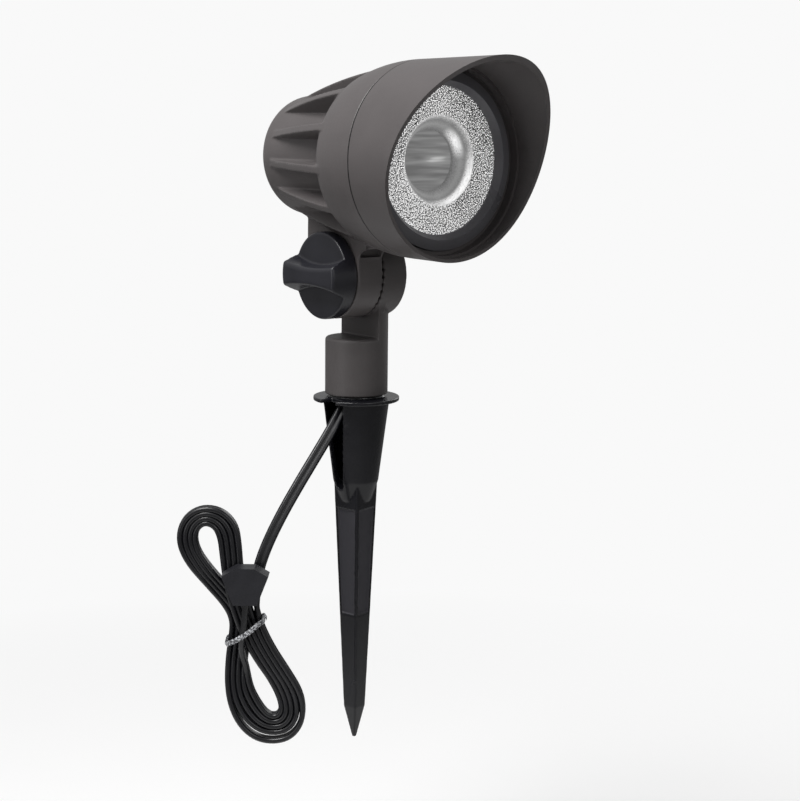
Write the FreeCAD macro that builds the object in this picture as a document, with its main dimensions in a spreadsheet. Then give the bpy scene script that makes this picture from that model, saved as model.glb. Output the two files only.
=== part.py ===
"""Garden spike spotlight: a finned lamp head with a glare hood, a locking knuckle and a ground stake.

Millimetres, +Z up. The origin is on the stake's axis at the ground line, the underside of the
stake's flange. At rest the beam is level and points along -Y, the tilt axis runs along X and
the locking knob is on the -X side.
"""
import FreeCAD, Part
import math
import os
import Sketcher

Vector = FreeCAD.Vector
Rotation = FreeCAD.Rotation

doc = FreeCAD.newDocument("GardenSpikeSpotlight")
sheet = doc.addObject("Spreadsheet::Sheet", "Sizes")


# ---------------------------------------------------------------- sizes and expressions
class Size:
    """A number together with the expression that gives it from the sheet."""

    def __init__(self, value, text):
        self.value = value
        self.text = text

    def __add__(self, other):
        return combined(self, "+", other)

    def __radd__(self, other):
        return combined(other, "+", self)

    def __sub__(self, other):
        return combined(self, "-", other)

    def __rsub__(self, other):
        return combined(other, "-", self)

    def __mul__(self, other):
        return combined(self, "*", other)

    def __rmul__(self, other):
        return combined(other, "*", self)

    def __truediv__(self, other):
        return combined(self, "/", other)

    def __rtruediv__(self, other):
        return combined(other, "/", self)

    def __neg__(self):
        return combined(0, "-", self)


OPERATIONS = {
    "+": lambda a, b: a + b,
    "-": lambda a, b: a - b,
    "*": lambda a, b: a * b,
    "/": lambda a, b: a / b,
}


def as_size(number):
    return number if isinstance(number, Size) else Size(float(number), f"({float(number):.6f})")


def combined(left, sign, right):
    left, right = as_size(left), as_size(right)
    return Size(OPERATIONS[sign](left.value, right.value), f"({left.text} {sign} {right.text})")


def root(number):
    return Size(math.sqrt(number.value), f"sqrt({number.text})")


def cosine(degrees):
    degrees = as_size(degrees)
    return Size(math.cos(math.radians(degrees.value)), f"cos({degrees.text} * 1 deg)")


def sine(degrees):
    degrees = as_size(degrees)
    return Size(math.sin(math.radians(degrees.value)), f"sin({degrees.text} * 1 deg)")


def size(alias, number, note):
    """Writes one driving dimension to the sheet and returns it."""
    row = size.row = getattr(size, "row", 0) + 1
    sheet.set(f"A{row}", note)
    sheet.set(f"B{row}", f"{number:g}")
    sheet.setAlias(f"B{row}", alias)
    return Size(float(number), f"Sizes.{alias}")


# stake
flange_radius = size("flange_radius", 20.6, "ground flange, outside radius")
flange_thick = size("flange_thick", 1.8, "ground flange, thickness")
collar_radius = size("collar_radius", 13.6, "collar under the socket")
collar_rise = size("collar_rise", 1.4, "collar, height above the flange")
spigot_radius = size("spigot_radius", 10.4, "half-inch pipe spigot, outside radius")
spigot_rise = size("spigot_rise", 14, "spigot, height above the collar")
spigot_bore = size("spigot_bore", 7.6, "spigot, bore radius")
mouth_bore = size("mouth_bore", 12.2, "bell mouth of the bore under the flange")
bell_rise = size("bell_rise", 4.4, "start of the bell mouth above the ground line")
bell_drop = size("bell_drop", 1.0, "end of the bell mouth below the ground line")
funnel_top = size("funnel_top", 15.9, "funnel, outside radius under the flange")
funnel_bottom = size("funnel_bottom", 10.9, "funnel, outside radius at its foot")
funnel_depth = size("funnel_depth", 39.4, "funnel, depth below the ground line")
funnel_toe = size("funnel_toe", 9.5, "taper from the funnel's foot into the blade")
stake_wall = size("stake_wall", 2.2, "funnel wall")
blade_half = size("blade_half", 7.7, "square blade, half side at the funnel's foot")
blade_end_half = size("blade_end_half", 3.9, "square blade, half side above the point")
blade_depth = size("blade_depth", 154, "blade, depth where the point starts")
point_half = size("point_half", 0.8, "half side of the blunt point")
stake_depth = size("stake_depth", 170.5, "stake, depth of the point")
blade_corner = size("blade_corner", 0.9, "blade, corner radius")
blade_turn = size("blade_turn", 12.2, "blade, turn about the stake's axis, degrees")
window_half = size("window_half", 7.6, "cable window, half width at the top")
window_foot_half = size("window_foot_half", 3.0, "cable window, half width at its foot")
window_depth = size("window_depth", 41, "cable window, depth of its straight sides")
notch_front = size("notch_front", 8.1, "flange notch, front edge")
notch_back = size("notch_back", 0.5, "flange notch, back edge")
flute_start = size("flute_start", 53, "blade flute, upper end")
flute_end = size("flute_end", 106, "blade flute, lower end")
flute_half = size("flute_half", 5.6, "blade flute, half width at the top")
flute_end_half = size("flute_end_half", 4.0, "blade flute, half width at the foot")
flute_deep = size("flute_deep", 0.9, "blade flute, depth")
# knuckle
hinge_height = size("hinge_height", 60.5, "tilt axis above the ground line")
socket_radius = size("socket_radius", 15, "socket, outside radius")
socket_top = size("socket_top", 30.6, "socket, top above the ground line")
socket_round = size("socket_round", 1.6, "socket, rounding of the top edge")
neck_flat = size("neck_flat", 1.8, "neck, distance of its flat side from the stake's axis")
ear_radius = size("ear_radius", 20.5, "knuckle ears, radius")
base_ear_out = size("base_ear_out", 13.9, "fixed ear, outer face")
head_ear_out = size("head_ear_out", 14.8, "moving ear, outer face")
ear_cavity = size("ear_cavity", 9.6, "wire chamber in the ears, radius")
base_cavity_deep = size("base_cavity_deep", 7.4, "wire chamber in the fixed ear, depth")
head_cavity_deep = size("head_cavity_deep", 9.2, "wire chamber in the moving ear, depth")
tooth_count = size("tooth_count", 36, "teeth on each ear")
tooth_deep = size("tooth_deep", 0.9, "teeth, depth")
tooth_inner = size("tooth_inner", 12.5, "teeth, inner radius")
tooth_gap = size("tooth_gap", 0.12, "gap from each tooth ring to the split plane")
wire_bore = size("wire_bore", 2.3, "wire passages in neck and arm, radius")
neck_blend = size("neck_blend", 36, "angle below the tilt axis where the neck meets the ear, degrees")
flare_wide = size("flare_wide", 3.4, "neck's blend into the ear, width from the flat")
neck_wire = size("neck_wire", 5.0, "wire passage in the neck, distance from the stake's axis")
arm_wire = size("arm_wire", 5.4, "wire passage in the arm, distance from the split plane")
wire_cross = size("wire_cross", 6.3, "cores crossing the tilt joint, distance from its axis")
arm_rib = size("arm_rib", 0.9, "arm, width of the ribs beside its front recess")
arm_recess = size("arm_recess", 1.6, "arm, depth of its front recess")
arm_blend = size("arm_blend", 5, "arm, blend into the bowl")
grommet_radius = size("grommet_radius", 8.0, "cord grommet, radius")
grommet_thick = size("grommet_thick", 6.0, "cord grommet, thickness")
fit = size("fit", 0.06, "running clearance of a shaft in its hole")
seat = size("seat", 0.15, "clearance between parts that seat on each other")
# clamp
bolt_radius = size("bolt_radius", 3.0, "clamp bolt, shank radius")
bolt_end = size("bolt_end", 13.0, "clamp bolt, end beyond the split plane")
hex_half = size("hex_half", 5.0, "hexagons of nut and bolt head, half width over flats")
nut_thick = size("nut_thick", 5.0, "clamp nut, thickness")
washer_radius = size("washer_radius", 8.8, "clamp washer, radius")
washer_thick = size("washer_thick", 1.6, "clamp washer, thickness")
knob_radius = size("knob_radius", 20.4, "knob disc, radius")
knob_thick = size("knob_thick", 6.3, "knob disc, thickness")
knob_gap = size("knob_gap", 0.3, "gap from knob to ear")
bolt_head = size("bolt_head", 3.6, "bolt head, thickness")
wing_rise = size("wing_rise", 8.1, "wing, height above the disc")
wing_foot_mid = size("wing_foot_mid", 5.0, "wing foot, half thickness in the middle")
wing_foot_end = size("wing_foot_end", 9.2, "wing foot, half thickness at the ends")
wing_waist_mid = size("wing_waist_mid", 4.6, "wing half way, half thickness in the middle")
wing_waist_end = size("wing_waist_end", 7.6, "wing half way, half thickness at the ends")
wing_top_mid = size("wing_top_mid", 4.1, "wing crest, half thickness in the middle")
wing_top_end = size("wing_top_end", 5.2, "wing crest, half thickness at the ends")
wing_round = size("wing_round", 1.7, "wing crest, edge rounding")
# lamp head, measured along the beam from the tilt axis and from the head's own axis
head_rise = size("head_rise", 54.4, "head axis above the tilt axis")
core_radius = size("core_radius", 28.5, "rear barrel, outside radius")
rear_end = size("rear_end", 42.4, "rear face behind the tilt axis")
rear_round = size("rear_round", 8.0, "rear barrel, edge rounding")
bowl_foot = size("bowl_foot", 11.0, "foot of the bowl on the barrel")
shoulder_at = size("shoulder_at", 25.0, "shoulder of the bowl")
shoulder_step = size("shoulder_step", 3.5, "shoulder, step in from the seam's radius")
bowl_round = size("bowl_round", 21.9, "rounding of the bowl's back")
bowl_ease = size("bowl_ease", 92, "rounding of the bowl from its shoulder to the seam")
seam_at = size("seam_at", 50.3, "seam between housing and hood")
seam_radius = size("seam_radius", 44.0, "radius at the seam")
seam_gap = size("seam_gap", 0.45, "open width of the seam")
fin_count = size("fin_count", 13, "fin positions round the barrel, the arm takes one")
fin_thick = size("fin_thick", 3.6, "fin thickness")
fin_start = size("fin_start", 35.5, "rear tip of the fins behind the tilt axis")
fin_round = size("fin_round", 330, "radius of the fins' outer edge")
barrel_bore = size("barrel_bore", 20.5, "driver chamber, radius")
barrel_floor = size("barrel_floor", 36.2, "driver chamber, floor behind the tilt axis")
plate_seat = size("plate_seat", 23.6, "shoulder that the mounting plate sits on")
plate_bore_step = size("plate_bore_step", 2.4, "plate bore, step in from the lens bore")
lens_bore_from = size("lens_bore_from", 33.0, "start of the lens bore")
spigot_wall = size("spigot_wall", 7.2, "screw spigot, wall round the lens bore")
spigot_front = size("spigot_front", 56.0, "front rim of the housing's screw spigot")
seam_ledge = size("seam_ledge", 3.4, "ledge at the seam, outside the screw spigot")
ring_groove_at = size("ring_groove_at", 52.6, "middle of the O-ring groove")
oring_half = size("oring_half", 0.85, "O-ring, section radius")
# hood and front parts
hood_flare = size("hood_flare", 0.6, "hood, growth in radius from seam to tip")
hood_tip = size("hood_tip", 103.0, "top of the slanted rim")
hood_low = size("hood_low", 69.8, "bottom of the slanted rim")
rim_sag = size("rim_sag", 160, "radius of the slanted rim, seen from the side")
hood_wall = size("hood_wall", 2.4, "hood lip, wall")
hood_step_at = size("hood_step_at", 64.5, "inner step of the hood")
hood_step = size("hood_step", 1.2, "height of the inner step")
hood_root_wall = size("hood_root_wall", 1.2, "hood, inner step's radius below the seam's")
ledge_from = size("ledge_from", 58.4, "ledge that holds the retaining ring")
ledge_thick = size("ledge_thick", 1.5, "ledge, thickness")
ledge_reach = size("ledge_reach", 0.95, "ledge, reach inside the hood's bore")
gasket_thick = size("gasket_thick", 1.0, "lens gasket, thickness")
lens_lip = size("lens_lip", 2.6, "lens flange, reach over the spigot's rim")
lens_front = size("lens_front", 59.0, "lens, front face")
lens_side_gap = size("lens_side_gap", 1.8, "gap between lens body and lens bore")
lens_collar = size("lens_collar", 34.4, "front end of the lens's rear collar")
cavity_mouth = size("cavity_mouth", 19.4, "front cavity of the lens, mouth radius")
cavity_floor = size("cavity_floor", 13.2, "front cavity of the lens, floor radius")
cavity_deep = size("cavity_deep", 8.0, "front cavity of the lens, depth")
lens_rear = size("lens_rear", 31.6, "lens, rear end")
lens_rear_radius = size("lens_rear_radius", 9.2, "lens, radius at its rear end")
lens_round = size("lens_round", 42.0, "radius of the lens's reflecting side")
pocket_radius = size("pocket_radius", 7.2, "pocket over the light source, radius")
pocket_deep = size("pocket_deep", 7.0, "pocket over the light source, depth")
ring_lap = size("ring_lap", 3.5, "retaining ring, reach over the lens flange")
ring_bevel = size("ring_bevel", 2.2, "retaining ring, width of its inner bevel")
ring_front = size("ring_front", 62.8, "retaining ring, front of the crest")
ring_skirt = size("ring_skirt", 61.3, "retaining ring, front of its outer edge")
ring_clear = size("ring_clear", 0.4, "retaining ring, clearance in the hood")
ring_foot_thick = size("ring_foot_thick", 1.2, "retaining ring, thickness of the foot")
# light engine and driver
plate_thick = size("plate_thick", 3.0, "mounting plate, thickness")
pad_thick = size("pad_thick", 0.4, "thermal pad, thickness")
board_thick = size("board_thick", 1.6, "circuit boards, thickness")
board_radius = size("board_radius", 18.0, "light board, radius")
chip_half = size("chip_half", 4.6, "light source, half width of its carrier")
chip_thick = size("chip_thick", 0.8, "light source, thickness of its carrier")
chip_dome = size("chip_dome", 3.9, "light source, radius of the glowing disc")
holder_outer = size("holder_outer", 11.4, "lens holder, outer radius")
board_screw_ring = size("board_screw_ring", 14.6, "board screws, distance from the axis")
plate_screw_inset = size("plate_screw_inset", 4.4, "plate screws, distance inside the plate's bore")
screw_radius = size("screw_radius", 1.5, "small screws, shank radius")
screw_head = size("screw_head", 2.7, "small screws, head radius")
screw_head_thick = size("screw_head_thick", 1.7, "small screws, head height")
plate_screw_deep = size("plate_screw_deep", 8.0, "plate screws, depth in the housing")
lead_hole = size("lead_hole", 2.0, "hole for the light board's leads, radius")
lead_radius = size("lead_radius", 0.6, "single lead, radius")
cup_wall = size("cup_wall", 1.4, "driver cup, wall")
cup_front = size("cup_front", 18.0, "driver cup, front rim")
driver_half = size("driver_half", 17.8, "driver board, half width")
driver_low = size("driver_low", 5.0, "driver board, distance below the head axis")
driver_front = size("driver_front", 13.0, "driver board, front edge")
# cord
cord_radius = size("cord_radius", 2.9, "flat cord, half its width")
inner_cord = size("inner_cord", 1.9, "cord's cores inside the knuckle, radius of the pair")
hank_at = size("hank_at", -55.26, "hank's reference line, along X")
hank_thick = size("hank_thick", 11.6, "hank, thickness")
end_front = size("end_front", 9.0, "cord's last stretch, distance in front of the hank's plane")
end_long = size("end_long", 15.0, "cord's last stretch, length")
tie_half = size("tie_half", 10.1, "tie, inner half width")
tie_thick = size("tie_thick", 0.9, "tie, thickness")
tie_tall = size("tie_tall", 2.4, "tie, height")
tie_tail = size("tie_tail", 5.0, "tie, length of its twisted tail")
connector_at = size("connector_at", -6.1, "connector, middle along the hank's plane")
connector_top = size("connector_top", -70.6, "connector, top above the ground line")
connector_low = size("connector_low", -88, "connector, mouth above the ground line")
connector_wide = size("connector_wide", 10.8, "connector, half width at the shoulders")
connector_mouth = size("connector_mouth", 5.5, "connector, half width at the mouth")
connector_cut = size("connector_cut", 6.4, "connector, width of the cut corners")
connector_front = size("connector_front", 7.0, "connector, distance in front of the hank's plane")
connector_half_thick = size("connector_half_thick", 4.4, "connector, thickness of each half")
pin_half = size("pin_half", 0.4, "contact pins, half thickness")
pin_tall = size("pin_tall", 1.8, "contact pins, half height")
pin_deep = size("pin_deep", 2.0, "contact pins, depth in each half")

# places that several parts share
collar_top = flange_thick + collar_rise
spigot_top = collar_top + spigot_rise
grommet_low = spigot_top + 0.7
axis_height = hinge_height + head_rise
pad_low = plate_seat + plate_thick + 0.04
board_low = pad_low + pad_thick + 0.02
board_top = board_low + board_thick
shoulder_radius = seam_radius - shoulder_step
hood_thread = seam_radius - seam_ledge
hood_bore = hood_thread + seat
hood_tip_radius = seam_radius + hood_flare
ledge_radius = hood_bore - ledge_reach
lens_bore = hood_thread - spigot_wall
lens_flange = lens_bore + lens_lip
lens_face_radius = lens_bore - lens_side_gap
ring_inner = lens_flange - ring_lap
ring_crest = ring_inner + ring_bevel
ring_outer = ledge_radius - ring_clear
ring_foot = hood_bore - ring_clear
plate_bore = lens_bore - plate_bore_step
plate_screw_ring = plate_bore - plate_screw_inset
hood_rear = seam_at + seam_gap
oring_at = hood_bore - 0.03 - oring_half

HEAD_TURN = Rotation(Vector(1, 0, 0), 90)  # own z runs along the beam, own y runs up
KNOB_TURN = Rotation(Vector(0, 1, 0), -90)  # own z runs outwards along -X, own x runs up
HANK_TURN = Rotation(Vector(0, 0, 1), -38.89)
NO_TURN = Rotation()

# centre line of the free cord in the plane y = 0
CORD_PATH = [
    (0, 14.9), (-1.2, 8.6), (-4.4, 2.6), (-9.0, -3.2), (-13.8, -10.8), (-23.6, -23.5),
    (-33, -36.3), (-42, -49.5), (-49.3, -61.5), (-54, -73), (-56.4, -84), (-57.4, -93),
]
# outline and the two eyes of the tied hank, in its own plane
HANK_LOOPS = [
    [
        (0.6, -97.7), (6.3, -110.6), (14.2, -123.1), (20, -134.2), (21.2, -143), (18.9, -151.9),
        (10.1, -160), (-0.5, -160.1), (-8, -156), (-12.5, -148), (-14, -138), (-15, -120),
        (-15.5, -101), (-26, -86), (-37, -73), (-41.5, -60), (-38, -50), (-30, -44.3),
        (-20, -44.5), (-12, -49), (-8, -58), (-6.8, -70), (-5.8, -80), (-3, -90),
    ],
    [
        (-3.5, -118.9), (0.7, -125.2), (4.7, -132.1), (6.7, -137.6), (7.3, -142.6),
        (5.4, -144.8), (2.3, -143.1), (-1.7, -137.2), (-4.6, -130.3), (-5, -124.3),
    ],
    [
        (-24.5, -54), (-20.8, -58), (-19.8, -66), (-17.2, -75), (-15.5, -82),
        (-20, -77), (-26, -69), (-28.6, -62), (-27.8, -56.5),
    ],
]
# the tie's middle in that plane, and its lean
TIE_AT = (-7.0, -103.5)
TIE_LEAN = 33.7


# ---------------------------------------------------------------- drawing helpers
def new_body(label, turn=NO_TURN, up=None):
    body = doc.addObject("PartDesign::Body", label)
    body.Label = label
    body.Placement = FreeCAD.Placement(Vector(0, 0, up.value if up else 0), turn)
    if up:
        body.setExpression("Placement.Base.z", up.text)
    return body


def origin_part(body, role):
    return next(part for part in body.Origin.OriginFeatures if part.Role == role)


def new_sketch(body, plane, lift=0, shift=0, turn=0):
    """A sketch on one of the body's own planes.

    It is lifted along the plane's normal, shifted along the sketch's x and turned about its y.
    """
    sketch = body.newObject("Sketcher::SketchObject", f"{body.Label}_sketch")
    sketch.AttachmentSupport = [(origin_part(body, plane), "")]
    sketch.MapMode = "FlatFace"
    lift, shift, turn = as_size(lift), as_size(shift), as_size(turn)
    spun = Rotation(Vector(0, 1, 0), turn.value)
    sketch.AttachmentOffset = FreeCAD.Placement(Vector(shift.value, 0, lift.value), spun)
    sketch.setExpression("AttachmentOffset.Base.z", lift.text)
    sketch.setExpression("AttachmentOffset.Base.x", shift.text)
    if turn.value:
        sketch.setExpression("AttachmentOffset.Rotation.Angle", turn.text)
    return sketch


def swivel(sketch, turn):
    """Turns a sketch within its own plane, about the plane's normal."""
    place = sketch.AttachmentOffset
    sketch.AttachmentOffset = FreeCAD.Placement(place.Base, Rotation(Vector(0, 0, 1), turn.value))
    sketch.setExpression("AttachmentOffset.Rotation.Angle", turn.text)


def hold_point(sketch, line, end, x, y):
    """Ties one point of the sketch to two sizes."""
    for kind, number, axis in (("DistanceX", x, -2), ("DistanceY", y, -1)):
        if number.value == 0:
            sketch.addConstraint(Sketcher.Constraint("PointOnObject", line, end, axis))
        else:
            made = sketch.addConstraint(Sketcher.Constraint(kind, -1, 1, line, end, number.value))
            sketch.setExpression(f"Constraints[{made}]", number.text)


def arc_over(start, finish, radius):
    """The arc over a chord that bulges to the chord's right for a positive radius."""
    chord = finish - start
    left = Vector(-chord.y, chord.x, 0).normalize()
    rise = math.sqrt(max(radius * radius - chord.Length**2 / 4, 0))
    middle = (start + finish) / 2 + left * math.copysign(rise, radius)
    ends = (start, finish) if radius > 0 else (finish, start)
    first, last = (math.atan2(end.y - middle.y, end.x - middle.x) for end in ends)
    circle = Part.Circle(middle, Vector(0, 0, 1), abs(radius))
    return Part.ArcOfCircle(circle, first, last if last > first else last + 2 * math.pi)


def draw_loop(sketch, corners, arcs=None, closed=True):
    """An outline: arcs maps a side's number to its radius, positive to the side's right."""
    arcs = arcs or {}
    corners = [(as_size(x), as_size(y)) for x, y in corners]
    flat = [Vector(x.value, y.value, 0) for x, y in corners]
    ends = []
    for side in range(len(flat) if closed else len(flat) - 1):
        start, finish = flat[side], flat[(side + 1) % len(flat)]
        radius = as_size(arcs.get(side, 0))
        if radius.value:
            line = sketch.addGeometry(arc_over(start, finish, radius.value))
            made = sketch.addConstraint(Sketcher.Constraint("Radius", line, abs(radius.value)))
            bound = radius if radius.value > 0 else -radius
            sketch.setExpression(f"Constraints[{made}]", bound.text)
        else:
            line = sketch.addGeometry(Part.LineSegment(start, finish))
        ends.append((line, 1, 2) if radius.value >= 0 else (line, 2, 1))
    for side, (line, first, last) in enumerate(ends):
        hold_point(sketch, line, first, *corners[side])
        if closed or side + 1 < len(ends):
            after, after_first, _ = ends[(side + 1) % len(ends)]
            sketch.addConstraint(Sketcher.Constraint("Coincident", line, last, after, after_first))
        else:
            hold_point(sketch, line, last, *corners[-1])


def draw_circle(sketch, x, y, radius):
    x, y, radius = as_size(x), as_size(y), as_size(radius)
    middle = Vector(x.value, y.value, 0)
    line = sketch.addGeometry(Part.Circle(middle, Vector(0, 0, 1), radius.value))
    hold_point(sketch, line, 3, x, y)
    made = sketch.addConstraint(Sketcher.Constraint("Radius", line, radius.value))
    sketch.setExpression(f"Constraints[{made}]", radius.text)


def draw_hexagon(sketch, half_flats):
    reach = half_flats / cosine(30)
    draw_loop(sketch, [(reach * cosine(60 * n), reach * sine(60 * n)) for n in range(6)])


def finish(body, feature):
    body.Tip = feature
    doc.recompute()
    return feature


def turned(body, corners, arcs=None, cut=False, lift=0):
    """Turns an outline of (radius, height) corners about a line along the body's z."""
    sketch = new_sketch(body, "XZ_Plane", lift)
    draw_loop(sketch, corners, arcs)
    kind = "PartDesign::Groove" if cut else "PartDesign::Revolution"
    feature = body.newObject(kind, f"{body.Label}_turn")
    feature.Profile = sketch
    feature.ReferenceAxis = (sketch, ["V_Axis"])
    feature.Angle = 360
    return finish(body, feature)


def extruded(body, sketch, length, cut=False, both=False):
    """Pads along the sketch's normal, or cuts against it."""
    kind = "PartDesign::Pocket" if cut else "PartDesign::Pad"
    feature = body.newObject(kind, f"{body.Label}_extrusion")
    feature.Profile = sketch
    length = as_size(length)
    feature.Length = length.value
    feature.setExpression("Length", length.text)
    feature.Midplane = both
    return finish(body, feature)


def drilled(body, plane, lift, x, y, radius, deep):
    sketch = new_sketch(body, plane, lift)
    draw_circle(sketch, x, y, radius)
    return extruded(body, sketch, deep, cut=True)


def drilled_ring(body, lift, distance, angles, radius, deep):
    sketch = new_sketch(body, "XY_Plane", lift)
    for angle in angles:
        draw_circle(sketch, distance * cosine(angle), distance * sine(angle), radius)
    return extruded(body, sketch, deep, cut=True)


def lofted(body, sketches, cut=False):
    kind = "PartDesign::SubtractiveLoft" if cut else "PartDesign::AdditiveLoft"
    feature = body.newObject(kind, f"{body.Label}_loft")
    feature.Profile = sketches[0]
    feature.Sections = sketches[1:]
    feature.Ruled = True
    return finish(body, feature)


def piped(body, profile, path):
    feature = body.newObject("PartDesign::AdditivePipe", f"{body.Label}_pipe")
    feature.Profile = profile
    feature.Spine = path
    return finish(body, feature)


def round_array(body, feature, axis, count, angle=360):
    """Copies a feature round an axis."""
    pattern = body.newObject("PartDesign::PolarPattern", f"{body.Label}_array")
    pattern.Originals = [feature]
    pattern.Axis = axis
    count, angle = as_size(count), as_size(angle)
    pattern.Occurrences = int(count.value)
    pattern.setExpression("Occurrences", count.text)
    pattern.Angle = angle.value
    pattern.setExpression("Angle", angle.text)
    return finish(body, pattern)


def body_axis(body, role):
    return (origin_part(body, role), [""])


def rounded(body, feature, edges, radius):
    """Rounds the edges that the test picks."""
    names = [f"Edge{n}" for n, edge in enumerate(feature.Shape.Edges, 1) if edges(edge)]
    fillet = body.newObject("PartDesign::Fillet", f"{body.Label}_round")
    fillet.Base = (feature, names)
    fillet.Radius = radius.value
    fillet.setExpression("Radius", radius.text)
    return finish(body, fillet)


def ring_outline(inner, outer, low, high):
    return [(inner, low), (outer, low), (outer, high), (inner, high)]


def thirds(first):
    """Angles in degrees of three places round a circle."""
    return [first, first + 120, first + 240]


# ---------------------------------------------------------------- stake
def ground_stake():
    body = new_body("ground_stake")
    turned(body, [
        (0, -funnel_depth - funnel_toe),
        (funnel_bottom - 3.2, -funnel_depth - funnel_toe),
        (funnel_bottom, -funnel_depth),
        (funnel_top, 0),
        (flange_radius, 0),
        (flange_radius, flange_thick),
        (collar_radius, flange_thick),
        (collar_radius, collar_top),
        (spigot_radius, collar_top),
        (spigot_radius, spigot_top),
        (0, spigot_top),
    ])
    squares = []
    for depth, half, corner in (
        (funnel_depth, blade_half, blade_corner),
        (blade_depth, blade_end_half, blade_corner * 0.7),
        (stake_depth, point_half, blade_corner * 0.3),
    ):
        square = new_sketch(body, "XY_Plane", -depth)
        swivel(square, blade_turn)
        draw_rounded_square(square, half, corner)
        squares.append(square)
    lofted(body, squares)
    # hollow funnel with the bore through the spigot
    turned(body, [
        (0, -funnel_depth),
        (funnel_bottom - stake_wall - 1.4, -funnel_depth),
        (funnel_bottom - stake_wall, -funnel_depth + 3),
        (funnel_top - stake_wall, -bell_drop - 2),
        (mouth_bore, -bell_drop),
        (spigot_bore, bell_rise),
        (spigot_bore, spigot_top + 1),
        (0, spigot_top + 1),
    ], cut=True)
    window = new_sketch(body, "YZ_Plane", 0)
    draw_loop(window, [
        (-window_half, 0),
        (-window_foot_half, -window_depth),
        (window_foot_half, -window_depth),
        (window_half, 0),
    ], {1: window_foot_half * 1.05})
    extruded(body, window, flange_radius, cut=True)
    notch = new_sketch(body, "XY_Plane", flange_thick)
    draw_loop(notch, [
        (-flange_radius - 1, -notch_front),
        (-collar_radius - 0.3, -notch_front),
        (-collar_radius - 0.3, notch_back),
        (-flange_radius - 1, notch_back),
    ])
    extruded(body, notch, flange_thick, cut=True)
    # one flute on each face of the blade
    ends = []
    for depth, half in ((flute_start, flute_half), (flute_end, flute_end_half)):
        share = (depth - funnel_depth) / (blade_depth - funnel_depth)
        face = blade_half - (blade_half - blade_end_half) * share
        end = new_sketch(body, "XY_Plane", -depth)
        swivel(end, blade_turn)
        draw_loop(end, [
            (-half, -face - 1),
            (half, -face - 1),
            (half, -face + flute_deep),
            (-half, -face + flute_deep),
        ])
        ends.append(end)
    flute = lofted(body, ends, cut=True)
    round_array(body, flute, body_axis(body, "Z_Axis"), 4)


def draw_rounded_square(sketch, half, corner):
    inner = half - corner
    draw_loop(sketch, [
        (-inner, -half), (inner, -half), (half, -inner), (half, inner),
        (inner, half), (-inner, half), (-half, inner), (-half, -inner),
    ], {1: corner, 3: corner, 5: corner, 7: corner})


# ---------------------------------------------------------------- knuckle
def add_teeth(body, face, side):
    """Radial teeth cut into the ear's face; side is 1 where the ear lies towards +x."""
    half = ear_radius * (math.pi * 0.52) / tooth_count
    cuts = []
    for distance in (tooth_inner - 1.5, ear_radius + 1):
        share = distance / ear_radius
        cut = new_sketch(body, "XZ_Plane", distance)
        near = face - side * tooth_deep * 0.35
        reach = half * share * 1.35
        draw_loop(cut, [(near, -reach), (face + side * tooth_deep, 0), (near, reach)])
        cuts.append(cut)
    groove = lofted(body, cuts, cut=True)
    round_array(body, groove, body_axis(body, "X_Axis"), tooth_count)


def knuckle_base():
    """Socket, neck and fixed ear, with its own origin on the tilt axis."""
    body = new_body("knuckle_base", up=hinge_height)
    low = collar_top + 0.05 - hinge_height
    top = socket_top - hinge_height
    turned(body, [
        (0, low),
        (socket_radius, low),
        (socket_radius, top - socket_round),
        (socket_radius - socket_round, top),
        (0, top),
    ], {2: socket_round})
    reach = root(socket_radius * socket_radius - neck_flat * neck_flat)
    neck = new_sketch(body, "XY_Plane", top - 3)
    draw_loop(neck, [(neck_flat, reach), (neck_flat, -reach)], {1: socket_radius})
    extruded(body, neck, hinge_height - socket_top + 3 - ear_cavity - 2)
    side_y = ear_radius * cosine(neck_blend)
    side_z = -ear_radius * sine(neck_blend)
    blend = (side_y - reach) / (1 - cosine(neck_blend))
    blend_low = side_z - blend * sine(neck_blend)
    flare = new_sketch(body, "YZ_Plane", neck_flat)
    draw_loop(flare, [
        (-reach, blend_low),
        (reach, blend_low),
        (side_y, side_z),
        (-side_y, side_z),
    ], {1: -blend, 3: -blend})
    extruded(body, flare, flare_wide)
    ear = new_sketch(body, "YZ_Plane", tooth_gap)
    draw_circle(ear, 0, 0, ear_radius)
    extruded(body, ear, base_ear_out - tooth_gap)
    # threaded socket, grommet seat and wire passage
    turned(body, [
        (0, low - 1),
        (spigot_radius + fit, low - 1),
        (spigot_radius + fit, spigot_top + 0.4 - hinge_height),
        (grommet_radius + 0.02, spigot_top + 0.4 - hinge_height),
        (grommet_radius + 0.02, grommet_low + grommet_thick + seat - hinge_height),
        (0, grommet_low + grommet_thick + seat - hinge_height),
    ], cut=True)
    drilled(body, "XY_Plane", -ear_cavity * 0.6, neck_wire, 0, wire_bore, hinge_height - grommet_low)
    drilled(body, "YZ_Plane", base_cavity_deep, 0, 0, ear_cavity, base_cavity_deep)
    drilled(body, "YZ_Plane", base_ear_out, 0, 0, bolt_radius + fit, base_ear_out)
    nut = new_sketch(body, "YZ_Plane", base_ear_out)
    draw_hexagon(nut, hex_half + fit)
    extruded(body, nut, nut_thick + seat, cut=True)
    add_teeth(body, tooth_gap, 1)


def clamp_nut():
    body = new_body("clamp_nut", up=hinge_height)
    nut = new_sketch(body, "YZ_Plane", base_ear_out - nut_thick)
    draw_hexagon(nut, hex_half)
    extruded(body, nut, nut_thick - seat)
    drilled(body, "YZ_Plane", base_ear_out, 0, 0, bolt_radius + fit, nut_thick + 1)


def cord_grommet():
    body = new_body("cord_grommet", up=grommet_low)
    turned(body, ring_outline(0, grommet_radius - 0.02, 0, grommet_thick))
    drilled(body, "XY_Plane", grommet_thick, neck_wire, 0, inner_cord + fit, grommet_thick)


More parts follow.
